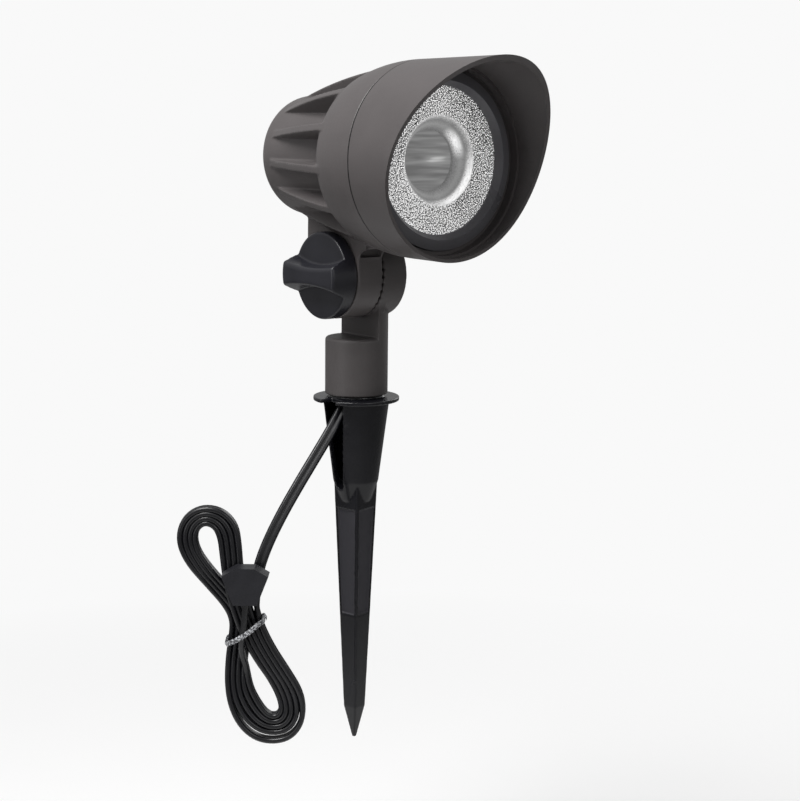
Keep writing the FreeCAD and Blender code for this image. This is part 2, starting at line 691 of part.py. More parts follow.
def base_lead():
    body = new_body("base_lead", up=hinge_height)
    start = grommet_low - hinge_height
    profile = new_sketch(body, "XY_Plane", start)
    draw_circle(profile, neck_wire, 0, inner_cord)
    bend = neck_wire - 0.4
    path = new_sketch(body, "XZ_Plane")
    corners = [(neck_wire, start), (neck_wire, -wire_cross - bend), (0.4, -wire_cross)]
    draw_loop(path, corners, {1: bend}, closed=False)
    piped(body, profile, path)


def arm_lead():
    """Crosses from the fixed ear, passes round the bolt and rises through the arm."""
    body = new_body("arm_lead", up=hinge_height)
    stub = new_sketch(body, "YZ_Plane", -arm_wire - inner_cord)
    draw_circle(stub, 0, -wire_cross, inner_cord)
    extruded(body, stub, arm_wire + inner_cord - 0.4)
    profile = new_sketch(body, "XZ_Plane")
    draw_circle(profile, -arm_wire, -wire_cross, inner_cord)
    path = new_sketch(body, "YZ_Plane", -arm_wire)
    rise = head_rise - barrel_bore + cup_wall + 2.5
    draw_loop(path, [
        (0, -wire_cross),
        (wire_cross, 0),
        (wire_cross, 1),
        (0, wire_cross + 1 + wire_cross * 0.4),
        (0, rise),
    ], {0: wire_cross}, closed=False)
    piped(body, profile, path)


# ---------------------------------------------------------------- clamp
def clamp_washer():
    body = new_body("clamp_washer", KNOB_TURN, hinge_height)
    low = head_ear_out + 0.05
    turned(body, ring_outline(bolt_radius + fit, washer_radius, low, low + washer_thick))


def clamp_bolt():
    """Hexagon bolt moulded into the knob; its shank reaches through both ears."""
    body = new_body("clamp_bolt", KNOB_TURN, hinge_height)
    head_low = head_ear_out + washer_thick + seat
    turned(body, [
        (0, -bolt_end),
        (bolt_radius - 0.6, -bolt_end),
        (bolt_radius, 0.6 - bolt_end),
        (bolt_radius, head_low + 1),
        (0, head_low + 1),
    ])
    head = new_sketch(body, "XY_Plane", head_low)
    draw_hexagon(head, hex_half)
    extruded(body, head, bolt_head)


def wing_knob():
    body = new_body("wing_knob", KNOB_TURN, hinge_height)
    low = head_ear_out + knob_gap
    floor = low + knob_thick
    turned(body, [
        (0, low),
        (knob_radius - 0.6, low),
        (knob_radius, low + 0.6),
        (knob_radius, floor - 0.9),
        (knob_radius - 0.9, floor),
        (0, floor),
    ], {3: 0.95})
    outlines = []
    crest = floor + wing_rise
    for height, middle, end in (
        (floor - 1, wing_foot_mid, wing_foot_end),
        (floor + wing_rise * 0.4, wing_waist_mid, wing_waist_end),
        (crest, wing_top_mid, wing_top_end),
    ):
        outline = new_sketch(body, "XY_Plane", height)
        tip = root(knob_radius * knob_radius - end * end)
        flank = (tip * tip + (end - middle) * (end - middle)) / (2 * (end - middle))
        corners = [(end, -tip), (end, tip), (-end, tip), (-end, -tip)]
        draw_loop(outline, corners, {0: -flank, 1: knob_radius, 2: -flank, 3: knob_radius})
        outlines.append(outline)
    wing = lofted(body, outlines)
    rounded(body, wing, lambda edge: all(abs(v.Z - crest.value) < 0.01 for v in edge.Vertexes), wing_round)
    head_low = head_ear_out + washer_thick + seat
    turned(body, [
        (0, low - 1),
        (washer_radius + seat, low - 1),
        (washer_radius + seat, head_low),
        (0, head_low),
    ], cut=True)
    pocket = new_sketch(body, "XY_Plane", head_low + bolt_head)
    draw_hexagon(pocket, hex_half + 0.02)
    extruded(body, pocket, bolt_head + 1, cut=True)


# ---------------------------------------------------------------- lamp head
def rear_housing():
    """Finned casting with arm and ear. Its own origin is on the tilt axis."""
    body = new_body("rear_housing", HEAD_TURN, hinge_height)
    lift = -head_rise
    turned(body, [
        (0, -rear_end),
        (core_radius - rear_round, -rear_end),
        (core_radius, rear_round - rear_end),
        (core_radius, bowl_foot),
        (shoulder_radius, shoulder_at),
        (seam_radius, seam_at),
        (hood_thread, seam_at),
        (hood_thread, spigot_front),
        (0, spigot_front),
    ], {1: rear_round, 3: bowl_round, 4: bowl_ease}, lift=lift)
    # arm and moving ear
    ear = new_sketch(body, "YZ_Plane", -head_ear_out)
    draw_circle(ear, 0, 0, ear_radius)
    extruded(body, ear, head_ear_out - tooth_gap)
    arm = new_sketch(body, "YZ_Plane", -head_ear_out)
    under = head_rise - shoulder_radius
    draw_loop(arm, [
        (0, -ear_radius),
        (0, ear_radius),
        (under - arm_blend - 1, ear_radius - 0.3),
        (under - 1, ear_radius + arm_blend),
        (under + 6, ear_radius + arm_blend),
        (head_rise - core_radius + 5, ear_radius - 2),
        (head_rise - core_radius + 5, 1 - ear_radius),
    ][::-1], {3: -arm_blend * 1.05})
    extruded(body, arm, head_ear_out - arm_rib)
    recess = new_sketch(body, "YZ_Plane", -2 * arm_rib)
    deep = ear_radius - arm_recess
    foot = under - arm_blend - 1 + arm_recess
    draw_loop(recess, [
        (foot, deep),
        (under - 0.3, deep),
        (under - 0.3, ear_radius + arm_blend + 1),
        (foot, ear_radius + arm_blend + 1),
    ][::-1])
    extruded(body, recess, head_ear_out - 3 * arm_rib, cut=True)
    # fins: one position in the circle belongs to the arm
    fin = new_sketch(body, "YZ_Plane", 0, head_rise, 180 + 360 / fin_count)
    draw_loop(fin, [
        (core_radius - 4, -fin_start),
        (core_radius - 1.2, -fin_start),
        (shoulder_radius - 0.1, shoulder_at - 0.4),
        (core_radius - 4, shoulder_at - 0.4),
    ], {1: fin_round})
    pad = extruded(body, fin, fin_thick, both=True)
    count = fin_count - 1
    round_array(body, pad, (fin, ["V_Axis"]), count, 360 * (fin_count - 2) / fin_count)
    # driver chamber, plate seat and lens bore
    turned(body, [
        (0, -barrel_floor),
        (barrel_bore, -barrel_floor),
        (barrel_bore, plate_seat),
        (plate_bore, plate_seat),
        (plate_bore, lens_bore_from),
        (lens_bore, lens_bore_from),
        (lens_bore, spigot_front + 1),
        (0, spigot_front + 1),
    ], cut=True, lift=lift)
    groove_floor = oring_at - oring_half - 0.03
    turned(body, [
        (groove_floor, ring_groove_at - oring_half - 0.2),
        (hood_thread + 1, ring_groove_at - oring_half - 0.2),
        (hood_thread + 1, ring_groove_at + oring_half + 0.2),
        (groove_floor, ring_groove_at + oring_half + 0.2),
    ], cut=True, lift=lift)
    holes = new_sketch(body, "XY_Plane", plate_seat)
    for angle in thirds(90):
        x, y = plate_screw_ring * cosine(angle), plate_screw_ring * sine(angle)
        draw_circle(holes, x, head_rise + y, screw_radius + fit)
    extruded(body, holes, plate_screw_deep, cut=True)
    # wire chamber, bolt hole and wire passage
    drilled(body, "YZ_Plane", 0, 0, 0, ear_cavity, head_cavity_deep)
    drilled(body, "YZ_Plane", 0, 0, 0, bolt_radius + fit, head_ear_out + 1)
    passage = head_rise - ear_cavity * 0.6 - barrel_bore + 2
    drilled(body, "XZ_Plane", -ear_cavity * 0.6, -arm_wire, 0, wire_bore + 0.5, passage)
    add_teeth(body, -tooth_gap, -1)


def housing_oring():
    body = new_body("housing_oring", HEAD_TURN, axis_height)
    section = new_sketch(body, "XZ_Plane")
    draw_circle(section, oring_at, ring_groove_at, oring_half)
    ring = body.newObject("PartDesign::Revolution", "housing_oring_turn")
    ring.Profile = section
    ring.ReferenceAxis = (section, ["V_Axis"])
    ring.Angle = 360
    finish(body, ring)


def hood():
    body = new_body("hood", HEAD_TURN, axis_height)
    bore = hood_tip_radius - hood_wall
    foot_bore = seam_radius - hood_root_wall
    turned(body, [
        (hood_bore, hood_rear),
        (seam_radius, hood_rear),
        (hood_tip_radius, hood_tip),
        (bore, hood_tip),
        (foot_bore, hood_step_at),
        (foot_bore - hood_step, hood_step_at),
        (foot_bore - hood_step, ledge_from + ledge_thick),
        (ledge_radius, ledge_from + ledge_thick),
        (ledge_radius, ledge_from),
        (hood_bore, ledge_from),
    ])
    # the rim is slanted and sags between its lowest and its foremost point
    wide = hood_tip_radius + 5
    slant = new_sketch(body, "YZ_Plane")
    draw_loop(slant, [
        (-wide, hood_low),
        (-hood_tip_radius, hood_low),
        (hood_tip_radius, hood_tip),
        (wide, hood_tip + 4),
        (wide, 2 * hood_tip - hood_low),
        (-wide, 2 * hood_tip - hood_low),
    ], {1: rim_sag})
    extruded(body, slant, 2 * wide, cut=True, both=True)


def lens_gasket():
    body = new_body("lens_gasket", HEAD_TURN, axis_height)
    low = spigot_front + 0.02
    turned(body, ring_outline(lens_bore + 0.3, lens_flange, low, low + gasket_thick))


def collimator_lens():
    body = new_body("collimator_lens", HEAD_TURN, axis_height)
    low = spigot_front + gasket_thick + 0.04
    pocket = lens_rear + pocket_deep
    turned(body, [
        (pocket_radius, lens_rear),
        (lens_rear_radius, lens_rear),
        (lens_rear_radius, lens_collar),
        (lens_face_radius, low - 0.6),
        (lens_face_radius, low),
        (lens_flange, low),
        (lens_flange, lens_front),
        (cavity_mouth, lens_front),
        (cavity_floor, lens_front - cavity_deep),
        (0, lens_front - cavity_deep),
        (0, pocket),
        (pocket_radius, pocket),
    ], {2: lens_round})


def lens_retaining_ring():
    body = new_body("lens_retaining_ring", HEAD_TURN, axis_height)
    low = lens_front + 0.02
    foot = ledge_from - 0.05
    turned(body, [
        (ring_inner, low),
        (lens_flange + 0.3, low),
        (lens_flange + 0.3, foot - ring_foot_thick),
        (ring_foot, foot - ring_foot_thick),
        (ring_foot, foot),
        (ring_outer, foot),
        (ring_outer, ring_skirt),
        (ring_crest, ring_front),
        (ring_inner, low + 0.9),
    ])


# ---------------------------------------------------------------- light engine and driver
def mounting_plate():
    body = new_body("mounting_plate", HEAD_TURN, axis_height)
    low = plate_seat + 0.02
    top = low + plate_thick
    turned(body, ring_outline(0, plate_bore - seat, low, top))
    drilled_ring(body, top, plate_screw_ring, thirds(90), screw_radius + seat, plate_thick)
    drilled_ring(body, top, board_screw_ring, thirds(30), screw_radius + fit, plate_thick)
    drilled(body, "XY_Plane", top, board_screw_ring, 0, lead_hole, plate_thick)


def thermal_pad():
    body = new_body("thermal_pad", HEAD_TURN, axis_height)
    turned(body, ring_outline(0, board_radius, pad_low, pad_low + pad_thick))
    drilled_ring(body, pad_low + pad_thick, board_screw_ring, thirds(30), screw_radius + 0.3, pad_thick)
    drilled(body, "XY_Plane", pad_low + pad_thick, board_screw_ring, 0, lead_hole, pad_thick)


def led_board():
    body = new_body("led_board", HEAD_TURN, axis_height)
    turned(body, ring_outline(0, board_radius, board_low, board_top))
    drilled_ring(body, board_top, board_screw_ring, thirds(30), screw_radius + seat, board_thick)
    drilled(body, "XY_Plane", board_top, board_screw_ring, 0, lead_hole, board_thick)


def led_emitter():
    body = new_body("led_emitter", HEAD_TURN, axis_height)
    low = board_top + 0.02
    carrier = new_sketch(body, "XY_Plane", low)
    side = chip_half
    draw_loop(carrier, [(-side, -side), (side, -side), (side, side), (-side, side)])
    extruded(body, carrier, chip_thick)
    disc = new_sketch(body, "XY_Plane", low + chip_thick)
    draw_circle(disc, 0, 0, chip_dome)
    extruded(body, disc, chip_thick)


def lens_holder():
    body = new_body("lens_holder", HEAD_TURN, axis_height)
    low = board_top + 0.02
    turned(body, ring_outline(lens_rear_radius + seat, holder_outer, low, lens_collar - seat))


def group_body(label):
    body = new_body(label, HEAD_TURN, axis_height)
    body.AllowCompound = True
    return body


def screws(label, distance, first, head_low, deep):
    """Three small screws; deep is the length of the shank below the head."""
    body = group_body(label)
    heads = new_sketch(body, "XY_Plane", head_low)
    shanks = new_sketch(body, "XY_Plane", head_low - deep)
    for angle in thirds(first):
        x, y = distance * cosine(angle), distance * sine(angle)
        draw_circle(heads, x, y, screw_head)
        draw_circle(shanks, x, y, screw_radius)
    extruded(body, heads, screw_head_thick)
    extruded(body, shanks, deep + screw_head_thick / 2)


def led_leads():
    """Two leads that rise from the driver board through plate and board."""
    body = group_body("led_leads")
    for side in (-1, 1):
        place = board_screw_ring + side * (lead_radius + 0.25)
        start = 0 - driver_low + board_thick / 2 + 0.02
        profile = new_sketch(body, "XZ_Plane", -start)
        draw_circle(profile, place, driver_front - 4, lead_radius)
        path = new_sketch(body, "YZ_Plane", place)
        bend = lead_radius * 2
        draw_loop(path, [
            (start, driver_front - 4),
            (-bend, driver_front - 4),
            (0, driver_front - 4 + bend),
            (0, board_top + 0.6),
        ], {1: bend}, closed=False)
        piped(body, profile, path)


def driver_cup():
    body = new_body("driver_cup", HEAD_TURN, axis_height)
    outer = barrel_bore - seat
    floor = seat - barrel_floor
    turned(body, [
        (0, floor),
        (outer, floor),
        (outer, cup_front),
        (outer - cup_wall, cup_front),
        (outer - cup_wall, floor + cup_wall),
        (0, floor + cup_wall),
    ])
    drilled(body, "XZ_Plane", outer + 1, -arm_wire, 0, wire_bore, cup_wall + 3)


def driver_board():
    body = new_body("driver_board", HEAD_TURN, axis_height)
    rear = seat * 2 - barrel_floor + cup_wall
    slab = new_sketch(body, "XZ_Plane", driver_low - board_thick / 2)
    draw_loop(slab, [
        (-driver_half, rear),
        (driver_half, rear),
        (driver_half, driver_front),
        (-driver_half, driver_front),
    ])
    extruded(body, slab, board_thick)


def driver_parts():
    """Capacitor, coil, rectifier and connector block on the board's upper side."""
    body = group_body("driver_parts")
    foot = board_thick / 2 + 0.02 - driver_low
    reach = driver_half
    for x, z, radius, tall in (
        (reach * -0.5, reach * -1.35, reach * 0.25, reach * 0.62),
        (reach * 0.45, reach * -1.24, reach * 0.33, reach * 0.5),
        (reach * -0.62, reach * -0.34, reach * 0.15, reach * 0.34),
    ):
        disc = new_sketch(body, "XZ_Plane", -(foot + tall))
        draw_circle(disc, x, z, radius)
        extruded(body, disc, tall)
    for x, z, wide, long, tall in (
        (reach * 0.17, reach * -0.28, reach * 0.22, reach * 0.17, reach * 0.28),
        (reach * -0.34, reach * 0.45, reach * 0.34, reach * 0.14, reach * 0.39),
    ):
        block = new_sketch(body, "XZ_Plane", -(foot + tall))
        corners = [(x - wide, z - long), (x + wide, z - long), (x + wide, z + long), (x - wide, z + long)]
        draw_loop(block, corners)
        extruded(body, block, tall)


# ---------------------------------------------------------------- cord, hank and connector
def spline(sketch, points, closed=False):
    curve = Part.BSplineCurve()
    curve.interpolate([Vector(x, z, 0) for x, z in points], PeriodicFlag=closed)
    sketch.addGeometry(curve)


def hank_body(label, u=0, z=0, lean=0):
    """A body whose own x runs along the hank's plane; its own y points away from the viewer."""
    body = doc.addObject("PartDesign::Body", label)
    body.Label = label
    place = FreeCAD.Placement(Vector(hank_at.value, 0, 0), HANK_TURN)
    body.Placement = place * FreeCAD.Placement(Vector(u, 0, z), Rotation(Vector(0, 1, 0), -lean))
    return body


def cord_lead():
    """Free stretch of the cord: out of the socket, through the window and down to the hank."""
    body = new_body("cord_lead")
    profile = new_sketch(body, "XY_Plane", CORD_PATH[0][1])
    draw_circle(profile, CORD_PATH[0][0], 0, cord_radius)
    path = new_sketch(body, "XZ_Plane")
    spline(path, CORD_PATH)
    piped(body, profile, path)


def cord_hank():
    body = hank_body("cord_hank")
    outline = new_sketch(body, "XZ_Plane")
    for loop in HANK_LOOPS:
        spline(outline, loop, closed=True)
    extruded(body, outline, hank_thick, both=True)


def cord_end():
    """Last stretch of the cord, in front of the hank's waist and up into the connector."""
    body = hank_body("cord_end")
    profile = new_sketch(body, "XY_Plane", connector_low - 0.2 - end_long)
    draw_circle(profile, connector_at, -end_front, cord_radius)
    extruded(body, profile, end_long)


def twist_tie():
    """Wire tie round the waist of the hank, slanted with it, with its twisted tail."""
    body = hank_body("twist_tie", *TIE_AT, TIE_LEAN)
    back = hank_thick / 2 + seat * 2
    front = -(end_front + cord_radius + seat * 2)
    band = new_sketch(body, "XY_Plane", -tie_tall / 2)
    for grow in (tie_thick, 0):
        wide = tie_half + grow
        draw_loop(band, [
            (-wide, front - grow),
            (wide, front - grow),
            (wide, back + grow),
            (-wide, back + grow),
        ])
    extruded(body, band, tie_tall)
    tail = new_sketch(body, "XZ_Plane", -front)
    draw_circle(tail, -tie_half * 0.5, 0, tie_tall * 0.4)
    extruded(body, tail, tie_tail)


def connector_half(label, low, thick):
    """One half of the tapered connector; low is its distance in front of the hank's plane."""
    body = hank_body(label)
    shell = new_sketch(body, "XZ_Plane", low)
    mouth, wide, crown = connector_mouth, connector_wide, connector_wide - connector_cut
    draw_loop(shell, [
        (connector_at - mouth, connector_low),
        (connector_at + mouth, connector_low),
        (connector_at + wide, connector_top - connector_cut * 0.58),
        (connector_at + crown, connector_top),
        (connector_at - crown, connector_top),
        (connector_at - wide, connector_top - connector_cut * 0.58),
    ])
    extruded(body, shell, thick)
    return body


def draw_pins(sketch, grow):
    for side in (-1, 1):
        u = connector_at + side * 2.6
        wide, tall = pin_half + grow, pin_tall + grow
        z = connector_top - 8
        draw_loop(sketch, [(u - wide, z - tall), (u + wide, z - tall), (u + wide, z + tall), (u - wide, z + tall)])


def connector_base():
    body = connector_half("connector_base", connector_front, connector_half_thick)
    slots = new_sketch(body, "XZ_Plane", connector_front + connector_half_thick)
    draw_pins(slots, seat)
    extruded(body, slots, pin_deep, cut=True)


def connector_cover():
    low = connector_front + connector_half_thick + 0.1
    body = connector_half("connector_cover", low, connector_half_thick)
    slots = new_sketch(body, "XZ_Plane", low + pin_deep)
    draw_pins(slots, seat)
    extruded(body, slots, pin_deep + 1, cut=True)


def connector_pins():
    body = hank_body("connector_pins")
    body.AllowCompound = True
    middle = connector_front + connector_half_thick
    blades = new_sketch(body, "XZ_Plane", middle - pin_deep + seat)
    draw_pins(blades, 0)
    extruded(body, blades, pin_deep * 2 - seat * 2)


def faults():
    """Labels of everything that failed to build, and of sub-parts without a sound shape."""
    for item in doc.Objects:
        if {"Invalid", "Error"} & set(item.State):
            yield f"{item.Label} ({item.Name}): {item.getStatusString()}"
        if item.isDerivedFrom("Part::BodyBase") and (item.Shape.isNull() or not item.Shape.isValid()):
            yield f"{item.Label}: no sound shape"


def main():
    ground_stake()
    knuckle_base()
    clamp_nut()
    cord_grommet()
    base_lead()
    clamp_washer()
    clamp_bolt()
    wing_knob()
    rear_housing()
    housing_oring()
    hood()
    lens_gasket()
    collimator_lens()
    lens_retaining_ring()
    mounting_plate()
    thermal_pad()
    led_board()
    led_emitter()
    lens_holder()
    screws("board_screws", board_screw_ring, 30, board_top + 0.02, board_thick + pad_thick + plate_thick)
    screws("plate_screws", plate_screw_ring, 90, plate_seat + plate_thick + 0.04, plate_screw_deep + plate_thick - 1)
    led_leads()
    arm_lead()
    driver_cup()
    driver_board()
    driver_parts()
    cord_lead()
    cord_hank()
    cord_end()
    twist_tie()
    connector_base()
    connector_cover()
    connector_pins()
    doc.recompute()
    problems = list(faults())
    if problems:
        raise RuntimeError("; ".join(problems))
    os.makedirs("parts", exist_ok=True)
    for body in doc.Objects:
        if body.isDerivedFrom("PartDesign::Body"):
            body.Shape.exportStep(f"parts/{body.Label}.step")


main()
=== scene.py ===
"""Garden spike spotlight: the looks of the lamp head, knuckle, stake and bundled cord.

The row frame is in metres with +Z up and its origin at the ground line on the stake's axis.
The beam points along -Y and the locking knob is on the -X side. Sizes typed here are in
millimetres and become metres where the mesh is made.
"""
import math

import bmesh
import bpy
from bpy.props import FloatProperty, FloatVectorProperty, PointerProperty
from mathutils import Matrix, Vector


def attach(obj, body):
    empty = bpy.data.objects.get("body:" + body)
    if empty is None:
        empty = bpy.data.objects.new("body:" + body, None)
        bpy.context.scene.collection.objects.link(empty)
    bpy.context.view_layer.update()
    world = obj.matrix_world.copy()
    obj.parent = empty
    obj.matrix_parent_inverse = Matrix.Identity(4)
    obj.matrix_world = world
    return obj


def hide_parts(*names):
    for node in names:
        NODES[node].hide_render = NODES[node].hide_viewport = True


bl_info = {
    "name": "Garden Spotlight Maker",
    "version": (1, 0, 0),
    "blender": (4, 2, 0),
    "location": "View3D > Sidebar > Spotlight",
    "description": "Builds a garden spike spotlight with its cord over the packed frame",
    "category": "Add Mesh",
}

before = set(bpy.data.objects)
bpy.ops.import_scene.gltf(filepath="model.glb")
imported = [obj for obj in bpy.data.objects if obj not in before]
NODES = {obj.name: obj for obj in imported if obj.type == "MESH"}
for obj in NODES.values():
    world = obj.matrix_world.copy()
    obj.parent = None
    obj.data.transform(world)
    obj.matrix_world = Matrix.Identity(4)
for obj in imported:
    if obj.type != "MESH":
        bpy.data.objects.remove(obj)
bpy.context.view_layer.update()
MM = 0.001

# heights above the ground line and places along the beam, as in the solids
AXIS_HEIGHT = 114.9
SEAM_AT = 50.55
# half width of the painted shade band at the seam of hood and housing
SEAM_SHADE_HALF = 0.5
FUNNEL_DEPTH = 39.4
BLADE_HALF = 7.7
BLADE_TAPER = 0.0332
BLADE_TURN = 12.2
FLUTE_START = 53.0
FLUTE_END = 106.0
WELL_FLOOR = 13.2
WELL_MOUTH = 19.4

# display strengths of the pale surroundings
BACKDROP = 0.947
FLOOR_GLOW = 0.2
FLOOR_LEVEL = -0.32
FLOOR_REACH = 6.0

# the hank's own plane: along it, up, and towards the viewer
HANK_AT = -55.26
HANK_ALONG = Vector((0.778, -0.628, 0.0))
HANK_FRONT = Vector((-0.628, -0.778, 0.0))

# height where the free cord enters the hank, and the length over which it turns on edge
HANK_TOP = -0.074
TWIST_LENGTH = 0.024

# route of the free cord in the plane y = 0, from the socket to the tied hank
FREE_ROUTE = (
    (0, 15.4), (-0.7, 9.2), (-3.6, 3.2), (-8.0, -3.4), (-14.4, -12.9), (-23.3, -24.2),
    (-33, -36.4), (-42.8, -49.4), (-50.7, -61.6), (-55.6, -71.5),
)
# outermost and innermost turn of the hank as (along, up, front)
OUTER_TURN = (
    (-0.9, -98.5, 3), (4.9, -111.2, 3), (12.4, -123.2, 2.4), (18.4, -133.5, 1), (20.3, -142, 0),
    (19.2, -150, 0), (13.9, -156.2, 0), (6, -158.2, 0), (-2.5, -157.2, 0), (-10, -152, 0),
    (-15, -143, 0), (-17.2, -132, -1), (-17, -119, -2.4), (-15.5, -108, -3), (-15, -100, -3),
    (-18.5, -92.5, -2.6), (-27, -82.5, -1.5), (-36.5, -71, 0), (-40.3, -60, 0), (-37, -49.5, 0),
    (-28, -44, 0), (-17.5, -45, 0), (-9.8, -52, 0), (-8, -62, 0.6), (-7.4, -73, 1.5), (-5, -86, 2.6),
)
INNER_TURN = (
    (-11.4, -99, 3), (-7.6, -108.5, 3), (-2.2, -118.2, 2.4), (3.6, -127, 1), (7.8, -135.5, 0),
    (9.6, -142, 0), (8, -146.2, 0), (4.4, -146.8, 0), (0.8, -144, 0), (-2.6, -138.5, 0),
    (-5.4, -132.5, 0), (-6.4, -127.5, -1), (-5.8, -119, -2.4), (-4.2, -109.5, -3), (-3.4, -101, -3),
    (-6.5, -94, -2.6), (-13.5, -85, -1.5), (-21.5, -75.5, 0), (-28.4, -66.5, 0), (-30, -58.5, 0),
    (-26.5, -53.5, 0), (-21.8, -55, 0), (-19.8, -60, 0), (-18.8, -68, 0.6), (-17.4, -78, 1.5),
    (-15, -88, 2.6),
)
LAST_RISE = (
    (-7.2, -122, 0.2), (-8.8, -114.5, 4.2), (-8.4, -106.5, 8.2), (-6.8, -97.5, 9.8), (-6.1, -86, 10.4),
)


# ------------------------------------------------------------------ shader expressions
class Wire:
    """A node socket that arithmetic can be done on."""

    def __init__(self, paint, socket):
        self.paint = paint
        self.socket = socket

    def _math(self, operation, other, swap=False):
        pair = (other, self) if swap else (self, other)
        return self.paint.node("ShaderNodeMath", {"operation": operation}, pair)

    def __add__(self, other):
        return self._math("ADD", other)

    __radd__ = __add__

    def __sub__(self, other):
        return self._math("SUBTRACT", other)

    def __rsub__(self, other):
        return self._math("SUBTRACT", other, True)

    def __mul__(self, other):
        return self._math("MULTIPLY", other)

    __rmul__ = __mul__

    def __truediv__(self, other):
        return self._math("DIVIDE", other)

    def __pow__(self, other):
        return self._math("POWER", other)

    def __gt__(self, other):
        return self._math("GREATER_THAN", other)

    def __lt__(self, other):
        return self._math("LESS_THAN", other)

    def size(self):
        return self.paint.node("ShaderNodeMath", {"operation": "ABSOLUTE"}, (self,))

    def clamped(self):
        return self.paint.node("ShaderNodeClamp", {}, (self, 0.0, 1.0))


class Paint:
    """A material under construction."""

    def __init__(self, name, **constants):
        self.material = bpy.data.materials.new(name)
        self.material.use_nodes = True
        self.tree = self.material.node_tree
        self.tree.nodes.clear()
        self.output = self.tree.nodes.new("ShaderNodeOutputMaterial")
        self.shader = self.tree.nodes.new("ShaderNodeBsdfPrincipled")
        self.tree.links.new(self.shader.outputs[0], self.output.inputs["Surface"])
        for title, value in constants.items():
            self.set(title.replace("_", " ").title().replace("Ior", "IOR"), value)

    def node(self, kind, settings, inputs=(), out=0):
        """Adds one node, gives it its settings, then its inputs by order or by name."""
        made = self.tree.nodes.new(kind)
        for key, value in settings.items():
            if key == "stops":
                self._ramp(made.color_ramp, value)
            else:
                setattr(made, key, value)
        pairs = inputs.items() if isinstance(inputs, dict) else enumerate(inputs)
        for key, value in pairs:
            self._feed(made.inputs[key], value)
        return Wire(self, made.outputs[out])

    def _ramp(self, ramp, stops):
        while len(ramp.elements) < len(stops):
            ramp.elements.new(1.0)
        for element, (place, shade) in zip(ramp.elements, stops):
            element.position = place
            element.color = (*shade, 1) if isinstance(shade, tuple) else (shade, shade, shade, 1)

    def _feed(self, socket, value):
        if isinstance(value, Wire):
            self.tree.links.new(value.socket, socket)
        elif value is not None:
            if socket.type == "RGBA" and len(value) == 3:
                value = (*value, 1.0)
            socket.default_value = value

    def set(self, title, value):
        self._feed(self.shader.inputs[title], value)
        return self

    def place(self):
        return self.node("ShaderNodeTexCoord", {}, out="Object")

    def speckle(self, scale, detail=2.0, rough=0.5, where=None):
        inputs = {"Vector": where or self.place(), "Scale": scale, "Detail": detail, "Roughness": rough}
        return self.node("ShaderNodeTexNoise", {}, inputs)

    def ramp(self, value, stops):
        return self.node("ShaderNodeValToRGB", {"stops": stops}, (value,))

    def mix(self, share, first, second):
        inputs = {0: share, 6: first, 7: second}
        return self.node("ShaderNodeMix", {"data_type": "RGBA"}, inputs, 2)

    def axis(self, name):
        return self.node("ShaderNodeSeparateXYZ", {}, (self.place(),), name)

    def bump(self, height, strength, distance):
        inputs = {"Strength": strength, "Distance": distance, "Height": height}
        self.set("Normal", self.node("ShaderNodeBump", {}, inputs))
        return self


def srgb(red, green, blue):
    """Display values of 0 to 255 as linear ones."""
    def one(value):
        value /= 255.0
        return value / 12.92 if value <= 0.04045 else ((value + 0.055) / 1.055) ** 2.4
    return (one(red), one(green), one(blue))


def shade(colour, factor):
    """The colour made darker or lighter by a factor."""
    return tuple(min(1.0, part * factor) for part in colour)


def coated_casting(name, colour, roughness=0.5, seam=0.0):
    """Fine-textured powder coat over a casting, with painted shade: a near-black band where the seam of hood and
    housing lies.
    """
    paint = Paint(name, specular_ior_level=0.42)
    grain = paint.speckle(1500, 3, 0.6)
    cloud = paint.speckle(45, 3, 0.55)
    tone = paint.ramp(grain * 0.35 + cloud * 0.65, ((0.3, shade(colour, 0.88)), (0.7, shade(colour, 1.1))))
    if seam:
        # painted shade: a near-black band across the seam of hood and housing, standing in for the shade in its gap
        forward = paint.axis("Y") / -MM
        tone = paint.mix((forward - seam).size() < SEAM_SHADE_HALF, tone, (0.004, 0.004, 0.004))
    paint.set("Base Color", tone)
    paint.set("Roughness", paint.ramp(cloud, ((0.3, roughness - 0.05), (0.7, roughness + 0.07))))
    paint.bump(grain + cloud * 0.2, 0.16, 0.0002)
    return paint.material


def moulded(name, colour, roughness, grain=0.05):
    """Moulded plastic or rubber: slight flow marks and a fine surface."""
    paint = Paint(name, specular_ior_level=0.5)
    flow = paint.speckle(60, 3, 0.6)
    fine = paint.speckle(1300, 2, 0.5)
    tone = paint.ramp(flow, ((0.3, shade(colour, 0.85)), (0.72, shade(colour, 1.15))))
    paint.set("Base Color", tone)
    paint.set("Roughness", paint.ramp(flow, ((0.3, roughness - 0.04), (0.7, roughness + 0.06))))
    if grain:
        paint.bump(fine + flow * 0.5, grain, 0.0003)
    return paint.material


def bare_metal(name, colour, roughness):
    """Plain metal with faint streaks."""
    paint = Paint(name, metallic=1.0)
    streak = paint.speckle(420, 3, 0.6)
    paint.set("Base Color", paint.ramp(streak, ((0.3, shade(colour, 0.85)), (0.7, shade(colour, 1.05)))))
    paint.set("Roughness", paint.ramp(streak, ((0.3, roughness - 0.06), (0.7, roughness + 0.08))))
    paint.bump(streak, 0.08, 0.0001)
    return paint.material


